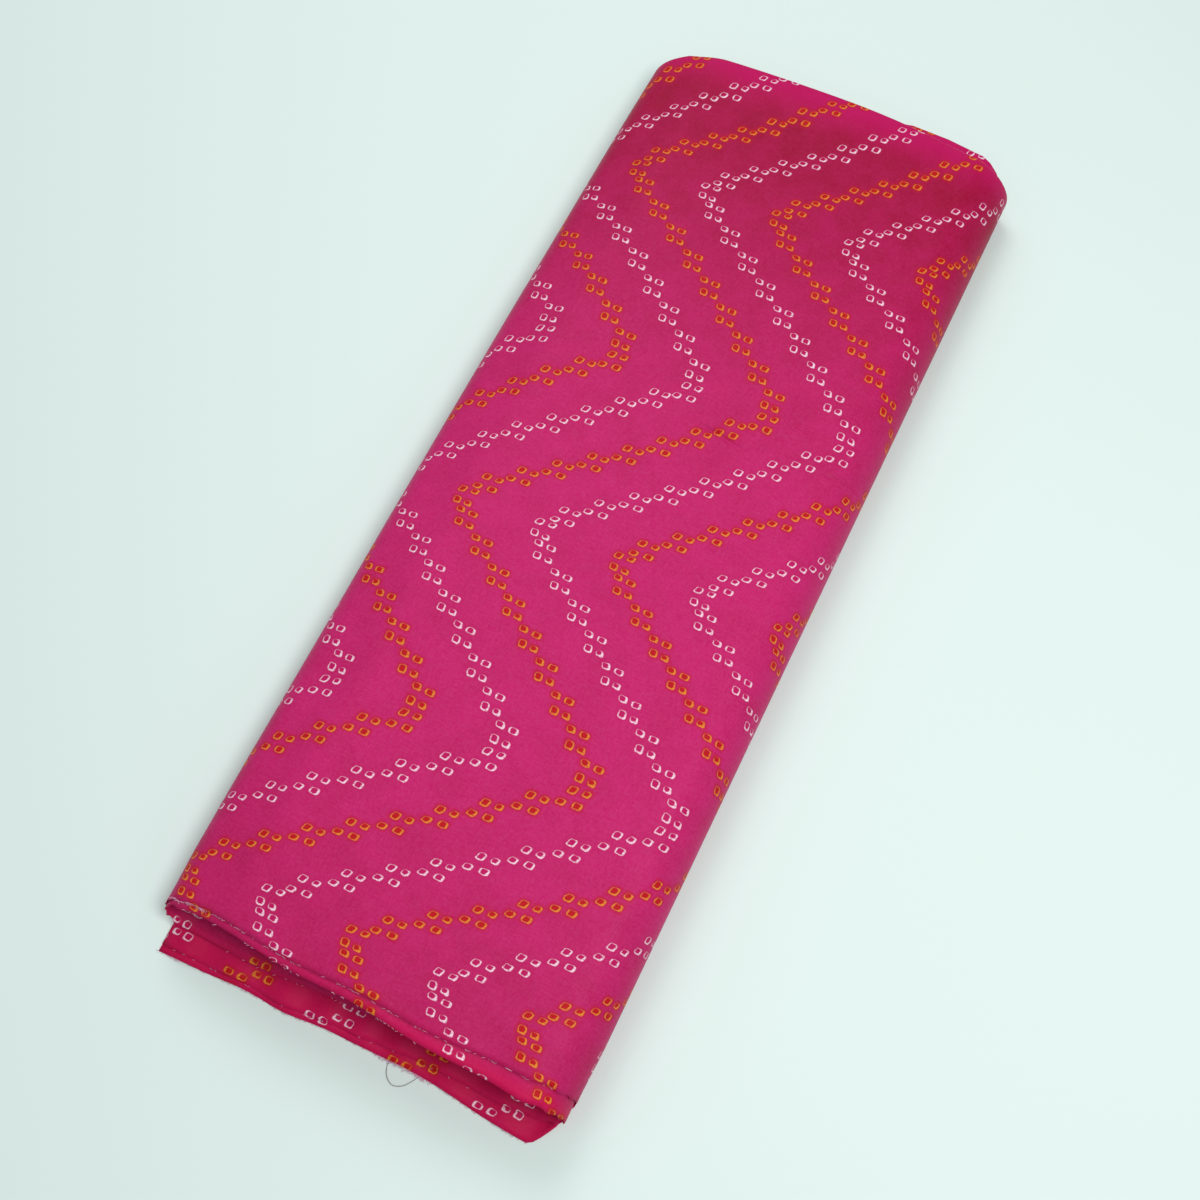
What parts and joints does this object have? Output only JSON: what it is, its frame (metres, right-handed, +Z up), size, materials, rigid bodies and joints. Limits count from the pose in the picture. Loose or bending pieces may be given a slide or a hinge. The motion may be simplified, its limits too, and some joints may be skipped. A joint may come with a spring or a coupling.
{
  "type": "folded bandhani print chanderi fabric",
  "caption": "Thin printed dress cloth, doubled selvedge to selvedge and wrapped flat into a long low bundle that rests on a table.",
  "frame": {"origin": "middle of the base of the bundle's box, on the surface it rests on", "axes": "+Z up, +Y along the bundle towards the centre fold of the doubled cloth, +X across the bundle"},
  "size_m": [0.2186, 0.5812, 0.0385],
  "materials": {
    "cloth": "fine plain weave, soft dull sheen, magenta ground with white and orange ring dots"
  },
  "bodies": {
    "root": {"cloth": "cloth"}
  },
  "joints": []
}
